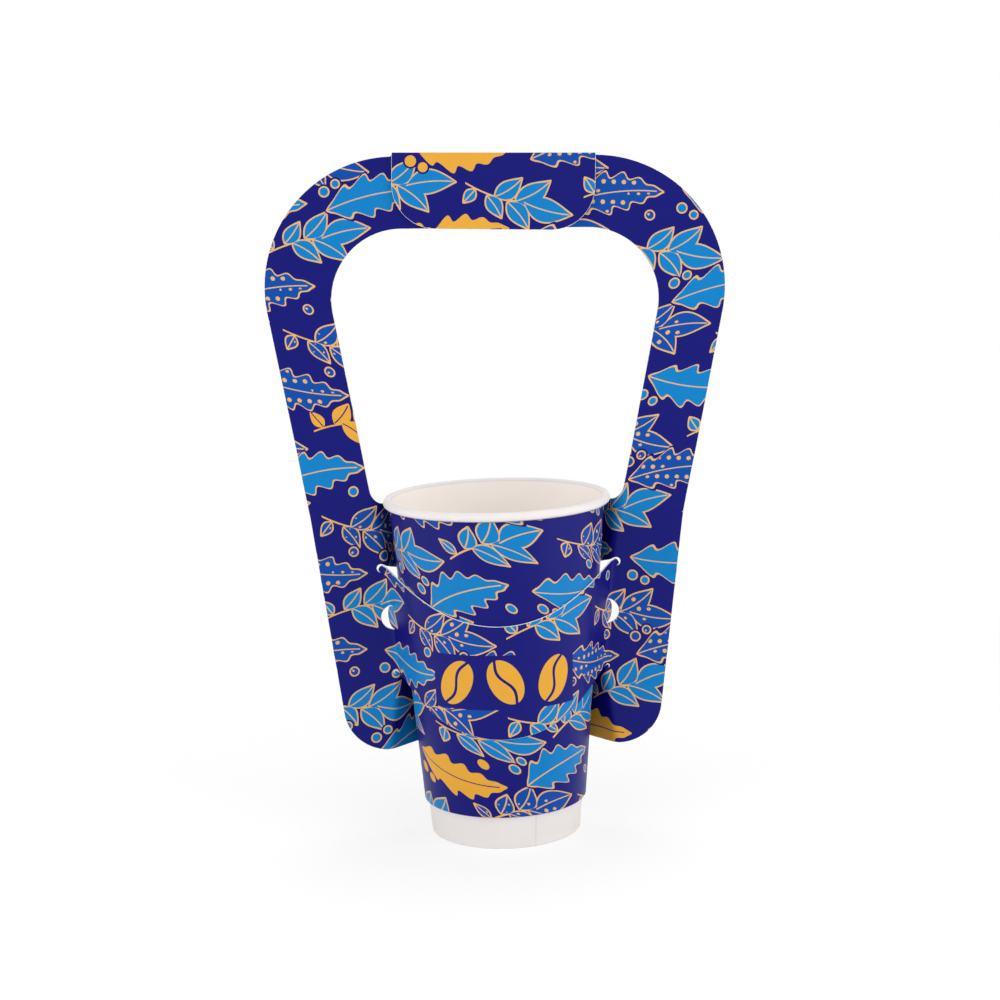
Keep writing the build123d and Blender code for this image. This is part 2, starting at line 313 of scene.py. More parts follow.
def wrap_radius(height):
    """Outer radius of the wrap: a straight line between its stand-offs at foot and rim."""
    foot = wall_radius(WRAP_FOOT) + WRAP_STAND_OFF_FOOT
    rim = wall_radius(wrap_top) + WRAP_STAND_OFF_RIM
    return foot + (rim - foot) * (height - WRAP_FOOT) / (wrap_top - WRAP_FOOT)


def hem_bends(crease, spacing, normal, radius):
    """Two round bends in place of the sharp creases of a hem, tangent to the same three runs."""
    x, height = crease
    inner = (x - spacing + radius, height + radius)
    inset = radius * tan((pi / 2 + normal) / 2)
    outer = (x - inset, height + radius)
    return [(inner, radius, normal - pi, -pi / 2), (outer, radius, -pi / 2, normal)]


def paper_section(bends, lead, tail=0):
    """Closed outline of bent paper: its path moved half a thickness right, and back on the left."""
    right, left = (bent_path(bends, shift, lead, tail) for shift in (PAPER / 2, -PAPER / 2))
    return np.concatenate([right, left[::-1]])


def revolved(name, profile, angles, push=0, closed=True):
    """Mesh of a profile turned about Z: radius times cosine and sine of each angle, and height.

    Push is added to the radius, and can differ for each profile point and angle. The ends of an
    open profile lie on the axis, and each becomes one point. The UV map holds the length round
    the axis, measured at each point's own radius from the -Y side, and the height.
    """
    radius = np.broadcast_to(profile[:, :1] + push, (len(profile), len(angles)))
    height = np.broadcast_to(profile[:, 1:], radius.shape)
    points = np.stack([radius * np.cos(angles), radius * np.sin(angles), height], 2)
    rows = len(profile) - (0 if closed else 1)
    i, j = np.meshgrid(np.arange(rows), np.arange(len(angles)), indexing="ij")
    corners = [(i, j), (i, j + 1), (i + 1, j + 1), (i + 1, j)]
    faces = np.stack([(a % len(profile)) * len(angles) + b % len(angles) for a, b in corners], 2)
    mesh = bpy.data.meshes.new(name)
    mesh.from_pydata(points.reshape(-1, 3), [], faces.reshape(-1, 4).tolist())
    turn = np.append(angles, angles[0] + 2 * pi) + pi / 2
    ring = np.concatenate([profile, profile[:1]])
    across = ring[:, :1] * turn
    up = ring[:, 1:] + 0 * across
    corner_map = np.stack([np.stack([across[a, b], up[a, b]], 2) for a, b in corners], 2)
    layer = mesh.uv_layers.new(name="print")
    layer.data.foreach_set("uv", corner_map.reshape(-1).astype(np.float32))
    if not closed:
        shell = bmesh.new()
        shell.from_mesh(mesh)
        bmesh.ops.remove_doubles(shell, verts=shell.verts, dist=SAME_POINT)
        shell.to_mesh(mesh)
        shell.free()
    mesh.shade_smooth()
    mesh.set_sharp_from_angle(angle=SHARP_ANGLE)
    return mesh


def give_lining(mesh, rows, first):
    """Give a revolved mesh its second material from one row of faces to the last."""
    index = np.zeros((rows, len(mesh.polygons) // rows), np.int32)
    index[first:] = 1
    mesh.polygons.foreach_set("material_index", index.reshape(-1))


def turn_angles(start, count=256):
    """Even angles round the axis, with two close together where a layer of paper ends."""
    even = start + np.linspace(0, 2 * pi, count, endpoint=False)[1:]
    return np.concatenate([[start, start + SEAM_CUT], even[even > start + SEAM_CUT]])


def make_cup_wall(outside, inside):
    """Side wall, rolled rim and pressed hem from one bent section, with its glued side seam.

    The seam's outer layer rises by the seam's step over a wide angle and ends in a cut edge. The
    rise is whole on the wall and fades to 0 over the hem's outer bend and the start of the roll.
    """
    start = wall_normal + pi
    roll = (roll_centre, roll_radius, start, start - RIM_ROLL_TURN)
    bends = hem_bends(foot_crease, 2 * layer_spacing, wall_normal, HEM_BEND) + [roll]
    profile = paper_section(bends, lead=HEM_LENGTH)
    angles = turn_angles(SEAM_ANGLE)
    behind = (SEAM_ANGLE - angles) % (2 * pi)
    rise = eased(behind, SEAM_RAMP, 0) * SEAM_STEP
    on_wall = np.zeros(len(profile))
    wall_top = len(profile) // 2 - len(arc_points((0, 0), 1, start, start - RIM_ROLL_TURN))
    bend_middle = bends[1][0][0]
    foot_share = (profile[:wall_top, 0] - bend_middle) / (profile[wall_top - 1, 0] - bend_middle)
    on_wall[:wall_top] = np.clip(foot_share, 0, 1)
    on_wall[wall_top:wall_top + SEAM_FADE_POINTS] = np.linspace(1, 0, SEAM_FADE_POINTS)
    mesh = revolved("cup_side_wall", profile, angles, on_wall[:, None] * rise[None])
    give_lining(mesh, len(profile), len(profile) - wall_top - LINING_OVER_RIM)
    piece = new_piece("cup_side_wall", mesh, [outside, inside])
    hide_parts("cup_wall")


def make_cup_bottom(inside):
    """Recessed disc with its skirt turned down between wall and hem, from one bent section."""
    inset = PAPER / 2 + layer_spacing + BOTTOM_BEND
    height = BOTTOM_RECESS - BOTTOM_BEND
    x = wall_radius(height) - inset / cos(wall_tilt)
    bend = ((x, height), BOTTOM_BEND, pi / 2, wall_normal)
    skirt = (height - PAPER - SKIRT_GAP) / cos(wall_tilt)
    profile = paper_section([bend], lead=x, tail=skirt)
    mesh = revolved("cup_base_disc", profile, turn_angles(0, count=128), closed=False)
    piece = new_piece("cup_base_disc", mesh, [inside])
    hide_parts("cup_bottom")


def make_cup_wrap(printed, board):
    """Printed cone round the wall, its lower edge turned in with round bends."""
    tilt = atan2(wrap_radius(wrap_top) - wrap_radius(WRAP_FOOT), wrap_top - WRAP_FOOT)
    height = WRAP_FOOT + PAPER / 2
    crease = (wrap_radius(height) - PAPER / 2 / cos(tilt), height)
    spacing = WRAP_STAND_OFF_FOOT - SEAM_STEP - WRAP_HEM_GAP - PAPER
    bends = hem_bends(crease, spacing, -tilt, spacing / 2 - WRAP_HEM_RUN)
    rise = (wrap_top - bends[1][0][1]) / cos(tilt)
    profile = paper_section(bends, lead=WRAP_HEM_LENGTH, tail=rise)
    mesh = revolved("cup_outer_wrap", profile, turn_angles(WRAP_SEAM_ANGLE))
    give_lining(mesh, len(profile), len(profile) // 2 - 1)
    piece = new_piece("cup_outer_wrap", mesh, [printed, board])
    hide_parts("cup_wrap")


# Carrier sheet. A point of the flat blank is its length round from the middle and its height.

window_foot = roll_underside - WINDOW_FOOT_GAP
strips_top = window_foot + WINDOW_FOOT_CORNER + WINDOW_FOOT_BLEND
flap_bend = (CARD + FLAP_GAP) / 2
upper_slit = dict(UPPER_SLIT, end=window_foot - TOP_STRIP)
lower_slit = dict(LOWER_SLIT, end=upper_slit["end"] - FRONT_BAND)
wing_foot = lower_slit["end"] - BOTTOM_STRIP
tab_height = upper_slit["end"] - TAB_DROP


def strip_radius(height):
    """Middle radius of the strips where they lie against the cup."""
    return wrap_radius(height) + SLEEVE_GAP + CARD / 2


def up_the_fold(foot, lower, upper, window, height):
    """Value at a height: straight lines between its values at four heights, and on past the last."""
    slope = (window - upper) / (window_foot - upper_slit["end"])
    past = np.maximum(height - window_foot, 0) * slope
    heights = (wing_foot, lower_slit["end"], upper_slit["end"], window_foot)
    return np.interp(height, heights, (foot, lower, upper, window)) + past


def fold_line(height):
    """Distance from the middle to the sharp fold: radius over cosine of touch, at each height."""
    foot = strip_radius(wing_foot) / cos(FOOT_TOUCH)
    lower, upper = (strip_radius(slit["end"]) / cos(BAND_TOUCH) for slit in (lower_slit, upper_slit))
    window = strip_radius(window_foot) / cos(WINDOW_TOUCH)
    return up_the_fold(foot, lower, upper, window, height)


def bend_radius(height):
    """Middle radius of the sheet at the fold."""
    return up_the_fold(FOOT_BEND, BAND_BEND, BAND_BEND, WINDOW_BEND, height)


def strip_lengths(height):
    """Turn of a strip round the cup, and the lengths to the end of its arc, run and bend.

    The strip leaves the cup along the tangent that meets the fold line, so the cosine of the
    touch angle is radius over distance, and the strip turns by its complement.
    """
    radius = strip_radius(height)
    touch = np.arccos(radius / fold_line(height))
    turn = pi / 2 - touch
    arc_end = radius * turn
    run_end = arc_end + radius * np.tan(touch) - bend_radius(height) * np.tan(turn / 2)
    return turn, arc_end, run_end, run_end + bend_radius(height) * turn


def bend_start(height):
    """Distance from the middle at which the flat wing starts to bend."""
    turn = strip_lengths(height)[0]
    return fold_line(height) + bend_radius(height) * np.tan(turn / 2)


def slack(height):
    """Length that the strips use up going round the cup; it fades out up the handle's legs."""
    low = np.minimum(height, strips_top)
    return (strip_lengths(low)[3] - bend_start(low)) * (1 - eased(height, strips_top, SHEAR_END))


def flap_fold(across):
    """Height at which the flap starts to bend: a line that rises a little to the left."""
    half = FLAP_WIDTH / 2
    return HANDLE_TOP + FLAP_SKEW * (half - np.clip(across, -half, half))


def folded(across, height, side, tab=False):
    """Middle surface of the folded sheet at a point of the blank; side is -1 in front, 1 behind.

    Going out from the middle, an arc about the cup, a straight run, a bend and the flat wing
    each add their own share of the length. On a tab the straight run goes on instead. The bend
    fades out beside the window. Over the handle's top the flap bends forward, and its points
    move aside by their drop times the slope of its fold.
    """
    low = np.minimum(height, strips_top)
    radius, bend = strip_radius(low), bend_radius(low)
    turn, arc_end, run_end, bend_end = strip_lengths(low)
    length = np.abs(across)
    angle = np.clip(length, 0, arc_end) / radius
    run = np.clip(length, arc_end, np.where(tab, length + arc_end, run_end)) - arc_end
    left = turn - np.where(tab, 0, np.clip(length - run_end, 0, bend_end - run_end) / bend)
    wing = np.where(tab, 0, np.maximum(length - bend_end, 0))
    x = radius * np.sin(angle) + run * np.cos(turn) + bend * (np.sin(turn) - np.sin(left)) + wing
    y = -radius * np.cos(angle) + run * np.sin(turn) + bend * (np.cos(left) - np.cos(turn))
    flat = np.clip((height - window_foot) / (strips_top - window_foot), 0, 1)
    x = x + flat * (length - slack(height) - x)
    y = y * (1 - flat)
    over = np.maximum(height - flap_fold(across), 0)
    last = pi - FLAP_SPRING
    fold = np.clip(over / flap_bend, 0, last)
    rest = np.maximum(over - flap_bend * last, 0)
    forward = flap_bend * (1 - np.cos(fold)) + np.sin(fold) * rest
    drop = over - flap_bend * np.sin(fold) - np.cos(fold) * rest
    aside = np.sign(across) * x - FLAP_SKEW * drop
    return np.stack([aside, -side * y - forward, height - drop], -1)


def leaning(points):
    """Points of the handle turned about a pivot by an angle that grows from 0 with the height."""
    x, y, z = np.moveaxis(points, -1, 0)
    angle = LEAN * eased(z, LEAN_START, LEAN_FULL)
    cosine, sine = np.cos(angle), np.sin(angle)
    rise = z - LEAN_PIVOT
    return np.stack([x * cosine + rise * sine, y, LEAN_PIVOT + rise * cosine - x * sine], -1)


def blank_across(x, height):
    """Length round the blank of a point seen in the front view, by halving an interval."""
    low, high = np.zeros_like(x), np.full_like(x, 2 * HANDLE_HALF_WIDTH)
    for _ in range(HALVINGS):
        middle = (low + high) / 2
        inside = folded(middle, height, -1)[..., 0] < np.abs(x)
        low, high = np.where(inside, middle, low), np.where(inside, high, middle)
    return np.sign(x) * (low + high) / 2


def slit_height(x, slit):
    """Height of a slit in the front view: two straight arms and, between them, a round dip."""
    meet = slit["end"] - fold_line(slit["end"]) * tan(slit["slope"])
    dip = slit["dip"]
    arms = meet + np.abs(x) * tan(slit["slope"])
    low = meet + dip / cos(slit["slope"]) - np.sqrt(np.maximum(dip ** 2 - x ** 2, 0))
    return np.where(np.abs(x) < dip * sin(slit["slope"]), low, arms)


def slit_loop(slit):
    """Outline of a slit in the front view: two close lines that end at each side in a hook.

    The hook is an arc that turns back under the slit. It opens by the slit's width, shrinking to
    0, plus the gape times a squared sine. Half the gape opens the last stretch before the hook,
    as the square of the way along it.
    """
    radius = slit["round"] / 2
    end = bend_start(slit["end"]) + slit["reach"] - radius
    upward = np.array([-sin(slit["slope"]), cos(slit["slope"])])
    start = np.array([end, slit_height(end, slit)])
    centre = start + upward * (SLIT_WIDTH / 2 - radius)
    way = np.linspace(0, 1, HOOK_POINTS)[:, None]
    angle = slit["slope"] + pi / 2 - way * HOOK_TURN
    out = np.concatenate([np.cos(angle), np.sin(angle)], 1)
    wave = np.sin(pi * (HOOK_GAPE_START + (1 - HOOK_GAPE_START) * way)) ** 2
    opening = SLIT_WIDTH * (1 - way) + slit["gape"] * wave
    line = np.linspace(0, end, ARM_POINTS)[:-1]
    middle = np.stack([line, slit_height(line, slit)], 1)
    spread = np.array([[0, SLIT_WIDTH / 2]])
    near = np.clip(1 - (end - line) / slit["round"], 0, 1)[:, None]
    under = middle - spread - upward * near ** 2 * slit["gape"] / 2
    inner, outer = centre + (radius - opening) * out, centre + radius * out
    right = np.concatenate([under, inner, outer[-2::-1], (middle + spread)[::-1]])
    left = right[::-1][1:-1] * [-1, 1]
    return np.concatenate([right, left])


def in_front(across, height):
    """True for points of the band between the slits, which passes in front of the cup."""
    x = np.abs(folded(across, height, -1)[..., 0])
    return (height > slit_height(x, lower_slit)) & (height < slit_height(x, upper_slit))


def to_blank(loop):
    """Outline of the front view, laid out on the blank."""
    return np.stack([blank_across(loop[:, 0], loop[:, 1]), loop[:, 1]], 1)


def tab_middle():
    """Length from the blank's middle to a tab's, just short of halfway round the bend."""
    _, _, start, end = strip_lengths(tab_height)
    return (start + end) / 2 - TAB_INSET


def on_tab(across, height):
    """True for points within the round outline of a tab."""
    away = np.hypot(np.abs(across) - tab_middle(), height - tab_height)
    return away < (TAB_DIAMETER + TAB_CUT) / 2


def tab_cuts():
    """Outlines of the cuts that free the tabs: two close arcs that end just past the bend."""
    centre, radius = (tab_middle(), tab_height), TAB_DIAMETER / 2
    last = acos((strip_lengths(tab_height)[2] - CUT_OVERRUN - tab_middle()) / radius)
    outer = arc_points(centre, radius + TAB_CUT, -last, last, CORNER_ANGLE)
    right = np.concatenate([outer, arc_points(centre, radius, last, -last, CORNER_ANGLE)])
    return [right, right * [-1, 1]]


def outer_loop():
    """Outer outline of the blank: wings, handle and, on its top edge, the flap laid out flat."""
    body = to_blank(rounded_loop([
        (WING_FOOT_HALF_WIDTH, wing_foot, WING_CORNER),
        (SHOULDER_HALF_WIDTH, SHOULDER_HEIGHT, SHOULDER_BLEND),
        (HANDLE_HALF_WIDTH, HANDLE_TOP, HANDLE_CORNER),
    ]))
    half = FLAP_WIDTH / 2

    def side(edge):
        height = flap_fold(edge) + flap_bend * np.linspace(0, pi, FLAP_BEND_POINTS)
        return np.stack([np.full(FLAP_BEND_POINTS, edge), height], 1)

    flap_end = HANDLE_TOP + flap_bend * (pi - FLAP_SPRING) + GRIP_HEIGHT + FLAP_OVERHANG
    centre = (half - FLAP_CORNER, flap_end - FLAP_CORNER)
    corner = arc_points(centre, FLAP_CORNER, 0, pi / 2, CORNER_ANGLE)
    flap = np.concatenate([side(half), corner, corner[::-1] * [-1, 1], side(-half)[::-1]])
    top = np.abs(body[:, 1] - HANDLE_TOP) < SAME_POINT
    keep = ~(top & (np.abs(body[:, 0]) < half))
    first = np.argmin(keep)
    return divided(np.concatenate([body[:first], flap, body[first:][keep[first:]]]))


def inside_loops(points, loops):
    """True for points within the first loop and outside the others, by counting crossings."""
    inside = np.zeros(len(points), bool)
    for loop in loops:
        a, b = loop, np.roll(loop, -1, 0)
        px, pz = points[:, :1], points[:, 1:]
        spans = (a[:, 1] > pz) != (b[:, 1] > pz)
        with np.errstate(divide="ignore", invalid="ignore"):
            cross = a[:, 0] + (pz - a[:, 1]) / (b[:, 1] - a[:, 1]) * (b[:, 0] - a[:, 0])
        inside ^= (spans & (px < cross)).sum(1) % 2 == 1
    return inside


def grid_points():
    """Rows of points over the blank, closer together where the sheet bends.

    A row has a count of points for a strip's arc, run and bend each, then even steps.
    """
    rows = np.concatenate([
        np.arange(wing_foot, HANDLE_TOP, GRID_STEP),
        HANDLE_TOP + flap_bend * np.linspace(0, pi, FLAP_BEND_POINTS),
        HANDLE_TOP + flap_bend * pi + np.arange(GRID_STEP, GRIP_HEIGHT + FLAP_OVERHANG, GRID_STEP),
    ])
    points = []
    for z in rows:
        ends = (0, *strip_lengths(min(z, strips_top))[1:])
        columns = np.concatenate([
            *(np.linspace(*part)[:-1] for part in zip(ends, ends[1:], STRIP_POINTS)),
            np.arange(ends[-1], BLANK_HALF_WIDTH, WING_STEP),
        ])
        columns = np.concatenate([-columns[:0:-1], columns])
        rise = flap_fold(columns) - HANDLE_TOP if z >= HANDLE_TOP else 0 * columns
        points.append(np.stack([columns, z + rise], 1))
    return np.concatenate(points)


def clear_of(points, edge):
    """Points that lie well clear of every point of the outlines."""
    near = np.zeros(len(points), bool)
    for start in range(0, len(points), POINTS_AT_ONCE):
        part = slice(start, start + POINTS_AT_ONCE)
        apart = points[part, None] - edge[None]
        near[part] = ((apart ** 2).sum(2) < CLEAR_OF_EDGE ** 2).any(1)
    return points[~near]


def moved_in(loop, hole):
    """An outline moved into the board, square to its tangent, by the width of the crushed edge."""
    along = np.roll(loop, -1, 0) - np.roll(loop, 1, 0)
    along /= np.linalg.norm(along, axis=1)[:, None]
    x, z = loop.T
    area = x @ np.roll(z, -1) - np.roll(x, -1) @ z
    side = -1 if hole == (area > 0) else 1
    return loop + side * EDGE_WIDTH * np.stack([-along[:, 1], along[:, 0]], 1)


def sheet_surface():
    """Points and triangles of the blank within its outline, less window, slits and tab cuts.

    Along each outline runs a second one, just inside the board, where the crushed edge begins.
    """
    window = to_blank(rounded_loop([
        (WINDOW_FOOT_HALF_WIDTH, window_foot, WINDOW_FOOT_CORNER),
        (WINDOW_TOP_HALF_WIDTH, HANDLE_TOP - GRIP_HEIGHT, WINDOW_TOP_CORNER),
    ]))
    slits = [to_blank(slit_loop(slit)) for slit in (upper_slit, lower_slit)]
    loops = [outer_loop(), window, *slits, *tab_cuts()]
    inner = grid_points()
    inner = clear_of(inner[inside_loops(inner, loops)], np.concatenate(loops))
    lines = loops + [moved_in(loop, hole=k > 0) for k, loop in enumerate(loops)]
    starts = np.cumsum([0] + [len(line) for line in lines])
    sides = [
        (first + k, first + (k + 1) % len(line))
        for first, line in zip(starts, lines) for k in range(len(line))
    ]
    points = np.concatenate([*lines, inner])
    corners = [Vector(point) for point in points / MM]
    corners, _, triangles, *_ = delaunay_2d_cdt(corners, sides, [], 0, SAME_POINT / MM)
    points, triangles = np.array(corners) * MM, np.array(triangles)
    middles = points[triangles].mean(1)
    triangles = triangles[inside_loops(middles, loops)]
    a, b, c = (points[triangles[:, k]] for k in range(3))
    turned_over = (b - a)[:, 0] * (c - a)[:, 1] < (b - a)[:, 1] * (c - a)[:, 0]
    triangles[turned_over] = triangles[turned_over][:, ::-1]
    return points, triangles


def rim_edges(triangles):
    """Edges that only one triangle has, each in that triangle's direction."""
    edges = np.concatenate([triangles[:, [0, 1]], triangles[:, [1, 2]], triangles[:, [2, 0]]])
    key = np.sort(edges, 1) @ [triangles.max() + 1, 1]
    _, first, count = np.unique(key, return_index=True, return_counts=True)
    return edges[first[count == 1]]


def corner_normals(points, faces, smooth, flat):
    """Normals at the corners of faces: the points' own, or on flat faces the face's.

    A face's normal is square to its sides from the first corner to the second and to the last.
    """
    first, second, last = (points[faces[:, k]] for k in (0, 1, -1))
    normal = np.cross(second - first, last - first)
    normal /= np.linalg.norm(normal, axis=1)[:, None]
    return np.where(flat[:, None, None], normal[:, None], smooth[faces]).reshape(-1, 3)


def make_carrier(printed, back_printed, cut_edge):
    """The sheet: its middle surface moved half a thickness to each side, and joined at the cuts.

    At a cut the half thickness is less by the depth of the crushed edge, so a narrow slope runs
    along every outline. It and the cut's faces are bare board: flat, with the third material.
    """
    blank, triangles = sheet_surface()
    across, height = blank.T
    side, tab = np.where(in_front(across, height), -1, 1), on_tab(across, height)

    def place(aside, up):
        return leaning(folded(across + aside, height + up, side, tab))

    middle = place(0, 0)
    normal = np.cross(place(NUDGE, 0) - place(-NUDGE, 0), place(0, NUDGE) - place(0, -NUDGE))
    normal /= np.linalg.norm(normal, axis=1)[:, None]
    rim = rim_edges(triangles)
    at_cut = np.zeros(len(blank), bool)
    at_cut[rim] = True
    offset = normal * (CARD / 2 - EDGE_DEPTH * at_cut)[:, None]
    points = np.concatenate([middle + offset, middle - offset])
    count = len(middle)
    front, back = triangles, triangles[:, ::-1] + count
    cut = np.stack([rim[:, 1], rim[:, 0], rim[:, 0] + count, rim[:, 1] + count], 1)
    crushed = at_cut[triangles].any(1)
    parts = ((front, crushed), (back, crushed), (cut, np.ones(len(cut), bool)))
    mesh = bpy.data.meshes.new("carrier_sheet")
    mesh.from_pydata(points, [], [face for faces, _ in parts for face in faces.tolist()])
    index = np.concatenate([np.where(bare, 2, k) for k, (_, bare) in enumerate(parts)])
    mesh.polygons.foreach_set("material_index", index.astype(np.int32))
    corner = np.concatenate([faces.reshape(-1) for faces, _ in parts])
    layer = mesh.uv_layers.new(name="print")
    layer.data.foreach_set("uv", blank[corner % count].astype(np.float32).reshape(-1))
    smooth = np.concatenate([normal, -normal])
    shading = [corner_normals(points, faces, smooth, bare) for faces, bare in parts]
    mesh.shade_smooth()
    mesh.normals_split_custom_set(np.concatenate(shading))
    piece = new_piece("carrier_sheet", mesh, [printed, back_printed, cut_edge])
    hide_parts("carrier")


# Shader arithmetic

def operator(name):
    """Function of values that adds the math node of this name."""
    return lambda *values: math_node(name, *values)


class Signal:
    """A value in a node tree; arithmetic on it adds the math nodes that work it out."""

    def __init__(self, socket):
        self.socket = socket

    def __rsub__(self, other):
        return math_node("SUBTRACT", other, self)

    __add__ = __radd__ = operator("ADD")
    __sub__ = operator("SUBTRACT")
    __mul__ = __rmul__ = operator("MULTIPLY")
    __truediv__ = operator("DIVIDE")
    __abs__ = operator("ABSOLUTE")
    __lt__ = operator("LESS_THAN")
    __gt__ = operator("GREATER_THAN")


def feed(socket, value):
    """Link a signal to a socket, or set the socket to a plain value; colours are opaque."""
    if isinstance(value, Signal):
        socket.id_data.links.new(value.socket, socket)
    else:
        socket.default_value = (*value, 1) if socket.type == "RGBA" else value


def put(tree, kind, inputs=None, **settings):
    """New node with its settings and with its inputs fed by name or number."""
    node = tree.nodes.new(kind)
    for name, value in settings.items():
        setattr(node, name, value)
    for name, value in (inputs or {}).items():
        feed(node.inputs[name], value)
    return node


def made(tree, kind, inputs=None, **settings):
    """Signal of a new node's first output."""
    return Signal(put(tree, kind, inputs, **settings).outputs[0])


def owner(values):
    """Node tree of the first signal among some values."""
    return next(value for value in values if isinstance(value, Signal)).socket.id_data


def math_node(operation, *values):
    return made(owner(values), "ShaderNodeMath", dict(enumerate(values)), operation=operation)


def vector_node(operation, *values):
    node = put(owner(values), "ShaderNodeVectorMath", dict(enumerate(values)), operation=operation)
    return Signal(node.outputs["Value" if operation in ("LENGTH", "DOT_PRODUCT") else "Vector"])


def scaled(vector, factor):
    tree = owner([vector, factor])
    return made(tree, "ShaderNodeVectorMath", {0: vector, "Scale": factor}, operation="SCALE")


larger, smaller = operator("MAXIMUM"), operator("MINIMUM")


def clamped(value):
    return smaller(larger(value, 0), 1)


def split(vector):
    """X and Y of a vector."""
    node = put(owner([vector]), "ShaderNodeSeparateXYZ", {0: vector})
    return Signal(node.outputs["X"]), Signal(node.outputs["Y"])


def joined(tree, x=0, y=0, z=0):
    return made(tree, "ShaderNodeCombineXYZ", {"X": x, "Y": y, "Z": z})


def coordinates(tree, kind="Object"):
    return Signal(put(tree, "ShaderNodeTexCoord").outputs[kind])


def blend(share, under, over):
    """Colour from one to the other as the share goes up; 6, 7 and 2 are the node's colour sockets."""
    node = put(owner([share]), "ShaderNodeMix", {0: share, 6: under, 7: over}, data_type="RGBA")
    return Signal(node.outputs[2])


def set_in(point, place, angle, size):
    """Point as seen from a place, turned back by an angle in degrees and divided by a size."""
    return made(owner([point]), "ShaderNodeMapping", {
        "Vector": point, "Location": (*place, 0),
        "Rotation": (0, 0, radians(angle)), "Scale": (size, size, 1),
    }, vector_type="TEXTURE")


def add_sockets(tree, way, labels):
    """Give a group named sockets: vectors and colours for the names listed here, else numbers."""
    kinds = {"Point": "Vector", "Shift": "Vector", "Under": "Color", "Color": "Color"}
    for label in labels:
        kind = "NodeSocket" + kinds.get(label, "Float")
        tree.interface.new_socket(label, in_out=way, socket_type=kind)


def new_group(name, *inputs):
    """Empty node group with named inputs, and their signals."""
    tree = bpy.data.node_groups.new(name, "ShaderNodeTree")
    add_sockets(tree, "INPUT", inputs)
    start = put(tree, "NodeGroupInput")
    return tree, [Signal(start.outputs[label]) for label in inputs]


def close_group(tree, results):
    """Give a group its outputs, fed by name."""
    add_sockets(tree, "OUTPUT", results)
    put(tree, "NodeGroupOutput", results)
    return tree


def place_group(tree, group, values):
    """Put a group into a tree with its inputs fed by name; its output signals by name."""
    node = put(tree, "ShaderNodeGroup", values, node_tree=group)
    return {socket.name: Signal(socket) for socket in node.outputs}


# Leaf print. An edge is the distance to an outline, below 0 inside it, in millimetres.

def leaf_group():
    """A leaf from 0 to 1 along X: twice a parabola wide, fuller near its stalk, its middle bent.

    Its half width is half width over length times 4t(1-t) times 1+fullness(1-2t), and waves
    along it take up to their depth off that. The edge is the distance across, divided by the
    slope's length, plus the distance past the tip or the stalk.
    """
    tree, (point, length, half, bend, fullness, waves, wave_depth) = new_group(
        "leaf", "Point", "Length", "Half Width", "Bend", "Fullness", "Waves", "Wave Depth",
    )
    ratio = half / length
    along, across = split(point)
    t = clamped(along)
    lens = t * (1 - t) * 4
    across = abs(across - bend * lens)
    wave = math_node("COSINE", (t - across / ratio * WAVE_SLANT) * waves * (2 * pi))
    depth = wave_depth * (wave * 0.5 + 0.5) * clamped(lens * WAVE_GROWTH)
    width = ratio * lens * (fullness * (1 - t * 2) + 1) * (1 - depth)
    slope = ratio * 4 * (1 - t * 2)
    edge = ((across - width) / math_node("SQRT", slope * slope + 1) + abs(along - t)) * length
    rib = across * length + larger(edge > 0, along > RIB_END) * FAR
    return close_group(tree, {"Edge": edge, "Rib": rib})


def sprig_group(leaf):
    """Six leaves on a bowed stem: place and angle of each stalk, length, half width and bend."""
    leaves = [
        ((2, 3), 10, 19.5, 4.6, 0.05), ((-4.5, 3.4), 47, 13.5, 3.7, -0.06),
        ((-12.5, 1.6), 52, 10.5, 3.0, -0.05), ((-1.5, 2.9), -34, 16, 4.0, 0.07),
        ((-9.5, 1.8), -38, 13, 3.5, 0.07), ((-17, -0.4), 128, 7, 2.2, 0),
    ]
    tree, [point] = new_group("sprig", "Point")
    x, y = split(point)
    bow = (x - STEM_TOP[0]) * (x - STEM_TOP[0]) * STEM_BOW
    off_end = larger(x < STEM_ENDS[0], x > STEM_ENDS[1])
    stem = abs(y - STEM_TOP[1] + bow) + off_end * FAR
    edge, rib = FAR, FAR
    for place, angle, length, half, bend in leaves:
        shape = place_group(tree, leaf, {
            "Point": set_in(point, place, angle, length), "Length": length,
            "Half Width": half, "Bend": bend, "Fullness": 0.35,
        })
        edge, rib = smaller(shape["Edge"], edge), smaller(shape["Rib"], rib)
    return close_group(tree, {"Edge": edge, "Rib": rib, "Stem": stem})


def wavy_leaf_group(leaf):
    """One broad leaf with a wavy edge, and three berries: place and radius of each."""
    berries = (((-19.5, 3.8), 1.9), ((-15, 6.6), 1.6), ((14.5, -6.4), 1.8))
    tree, [point] = new_group("wavy leaf", "Point")
    stalk, angle, length = (-19, -3.5), 9, 39
    shape = place_group(tree, leaf, {
        "Point": set_in(point, stalk, angle, length), "Length": length, "Half Width": 8.2,
        "Bend": 0.06, "Fullness": 0.25, "Waves": 5, "Wave Depth": 0.34,
    })
    edge = shape["Edge"]
    for place, radius in berries:
        away = vector_node("MULTIPLY", vector_node("SUBTRACT", point, (*place, 0)), (1, 1, 0))
        edge = smaller(edge, vector_node("LENGTH", away) - radius)
    no_stem = shape["Edge"] * 0 + FAR
    return close_group(tree, {"Edge": edge, "Rib": shape["Rib"], "Stem": no_stem})


